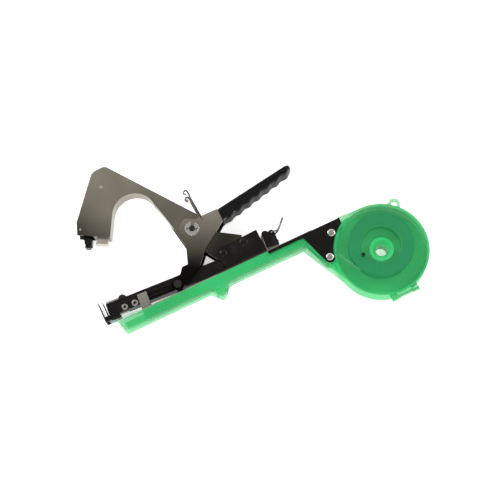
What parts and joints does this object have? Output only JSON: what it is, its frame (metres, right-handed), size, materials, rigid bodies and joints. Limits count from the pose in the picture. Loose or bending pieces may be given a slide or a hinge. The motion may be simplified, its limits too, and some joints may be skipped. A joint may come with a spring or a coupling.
{
  "type": "plant tying tape stapler",
  "caption": "Plier type plant tying tool: hinged jaw, squeeze handle, staple magazine on a green base, and a tape roll in a round case with a hinged cover.",
  "frame": {"origin": "axis of the reel's spindle bore, on the flat side of the reel case that the tool lies on", "axes": "+Z is the tool's width, along the pivots and the reel's axis; the jaws point to -X and the handle is on the +Y side"},
  "size_m": [0.3195, 0.2538, 0.022],
  "materials": {
    "green_plastic": "translucent green moulding",
    "clear_green_plastic": "paler translucent green moulding",
    "dark_green_tape": "wound soft tape",
    "card": "card tube",
    "bright_steel": "nickel plated",
    "pin_steel": "turned",
    "black_steel": "black oxide",
    "spring_steel": "drawn wire",
    "grip_vinyl": "dipped vinyl",
    "brass": "turned"
  },
  "bodies": {
    "base": {"base_grip": "green_plastic", "reel_case": "green_plastic", "side_plate_near": "black_steel", "side_plate_far": "black_steel", "plate_screws": "bright_steel", "plate_nuts": "bright_steel", "rail": "bright_steel", "cover_hinge_pin": "pin_steel", "tape_strip": "dark_green_tape", "housing": "black_steel", "rear_pin": "pin_steel", "jaw_pin": "pin_steel", "channel": "black_steel", "channel_rivets": "pin_steel", "channel_saddle": "bright_steel", "tape_guide": "black_steel", "guide_plate": "pin_steel", "driver_blade": "pin_steel", "float_spring": "spring_steel"},
    "cover": {"case_cover": "clear_green_plastic", "cover_plug": "grip_vinyl"},
    "roll": {"roll_core": "card", "tape_roll": "dark_green_tape"},
    "magazine": {"magazine": "bright_steel", "magazine_nose": "bright_steel", "magazine_latch": "black_steel", "staples": "spring_steel", "follower_rod": "pin_steel", "tail_block": "black_steel", "end_plate": "bright_steel", "follower_spring": "spring_steel"},
    "follower": {"follower": "brass"},
    "tail_wire": {"tail_wire": "spring_steel"},
    "jaw": {"jaw_arm": "bright_steel", "jaw_spacer": "pin_steel", "anvil": "pin_steel", "anvil_rivets": "pin_steel", "cutter_blade": "pin_steel", "claw_pin": "pin_steel", "main_pin": "pin_steel", "main_clips": "black_steel", "return_spring": "spring_steel"},
    "claw": {"tape_claw": "black_steel"},
    "handle": {"handle_lever": "bright_steel", "handle_grip": "grip_vinyl", "slot_studs": "pin_steel", "stud_washers": "pin_steel"},
    "lock_wire": {"lock_wire": "spring_steel"}
  },
  "joints": [
    {"name": "jaw_close", "type": "hinge", "parent": "base", "child": "jaw", "pos_m": [-0.141, 0.0645, 0.011], "axis": [0, 0, 1], "range_deg": [0, 24], "stiffness_Nm_per_rad": 0.35, "springref_deg": -20.05},
    {"name": "handle_squeeze", "type": "hinge", "parent": "jaw", "child": "handle", "pos_m": [-0.158, 0.101, 0.011], "axis": [0, 0, 1], "range_deg": [-40, 0.5]},
    {"name": "magazine_float", "type": "hinge", "parent": "base", "child": "magazine", "pos_m": [-0.118, 0.0663, 0.011], "axis": [0, 0, 1], "range_deg": [0, 1], "stiffness_Nm_per_rad": 3, "springref_deg": -5.73, "deforming": ["float_spring"]},
    {"name": "follower_feed", "type": "slide", "parent": "magazine", "child": "follower", "axis": [0.9981, -0.061, 0], "range_m": [0, 0.04], "stiffness_N_per_m": 40, "springref_m": -0.03, "deforming": ["follower_spring"]},
    {"name": "tail_wire_swing", "type": "hinge", "parent": "magazine", "child": "tail_wire", "pos_m": [-0.08924, 0.06408, 0.011], "axis": [0, 0, 1], "range_deg": [-20, 0]},
    {"name": "claw_pivot", "type": "hinge", "parent": "jaw", "child": "claw", "pos_m": [-0.2585, 0.15, 0.011], "axis": [0, 0, 1], "range_deg": [0, 5], "stiffness_Nm_per_rad": 0.02, "springref_deg": -11.46},
    {"name": "lock_wire_swing", "type": "hinge", "parent": "handle", "child": "lock_wire", "pos_m": [-0.1449, 0.1063, 0.011], "axis": [0, 0, 1], "range_deg": [-15, 70]},
    {"name": "roll_spin", "type": "hinge", "parent": "base", "child": "roll", "pos_m": [0.003, 0.0056, 0.011], "axis": [0, 0, 1], "continuous": true},
    {"name": "cover_open", "type": "hinge", "parent": "base", "child": "cover", "pos_m": [0, -0.0497, 0.0188], "axis": [1, 0, 0], "range_deg": [0, 110]}
  ],
  "couplings": [
    {"joint": "handle_squeeze", "follows": "jaw_close", "ratio": -1.65}
  ]
}
